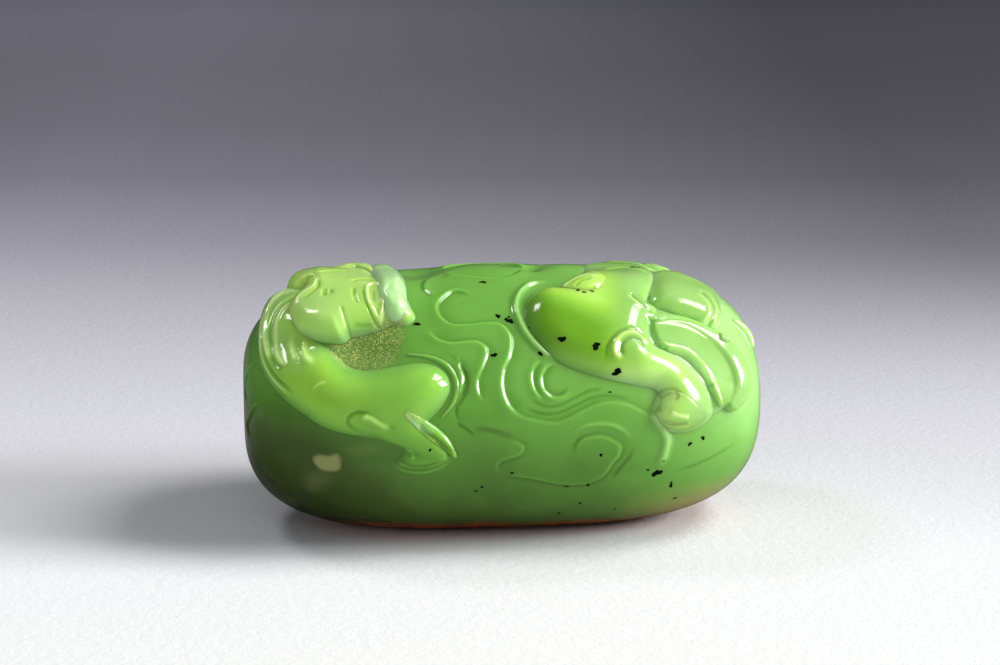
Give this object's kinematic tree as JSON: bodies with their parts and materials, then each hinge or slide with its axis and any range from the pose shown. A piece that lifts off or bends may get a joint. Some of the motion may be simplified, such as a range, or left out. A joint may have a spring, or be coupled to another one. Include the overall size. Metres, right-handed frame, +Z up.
{
  "type": "jade figurine",
  "caption": "Rounded oblong hand piece of polished green jade, carved in relief with a large and a small hornless dragon among cloud scrolls.",
  "frame": {"origin": "middle of the ground base, on the surface the stone stands on", "axes": "+X along the stone towards the small dragon, -Y the carved front, +Z up out of the base"},
  "size_m": [0.065, 0.0401, 0.0328],
  "materials": {
    "jade_ground": "polished",
    "jade_cloud": "polished",
    "jade_relief": "polished"
  },
  "bodies": {
    "root": {"stone_body": "jade_ground", "large_dragon_eye": "jade_relief", "large_dragon_crest": "jade_relief", "large_dragon_ear": "jade_relief", "large_dragon_muzzle": "jade_relief", "large_dragon_head": "jade_relief", "large_dragon_mane": "jade_relief", "large_dragon_nape": "jade_relief", "large_dragon_shoulder": "jade_relief", "large_dragon_thigh": "jade_relief", "large_dragon_shin": "jade_relief", "large_dragon_paw": "jade_relief", "large_dragon_fringe": "jade_relief", "large_dragon_haunch": "jade_relief", "large_dragon_flank_band": "jade_relief", "large_dragon_hind_leg": "jade_relief", "large_dragon_hip": "jade_relief", "large_dragon_tail": "jade_relief", "small_dragon_elbow": "jade_relief", "small_dragon_head": "jade_relief", "small_dragon_chest": "jade_relief", "small_dragon_knee": "jade_relief", "small_dragon_bead": "jade_relief", "small_dragon_tail": "jade_relief", "small_dragon_strand": "jade_relief", "small_dragon_paw": "jade_relief", "small_dragon_leg": "jade_relief", "small_dragon_whisker": "jade_relief", "small_dragon_hind_leg": "jade_relief", "small_dragon_hip": "jade_relief", "small_dragon_haunch_band": "jade_relief", "cloud_ridge": "jade_cloud", "cloud_scroll_upper": "jade_cloud", "cloud_scroll_middle": "jade_cloud", "cloud_scroll_chest": "jade_cloud", "cloud_scroll_lower": "jade_cloud", "cloud_stem": "jade_cloud", "cloud_scroll_back_left": "jade_cloud", "cloud_scroll_back_right": "jade_cloud"}
  },
  "joints": []
}
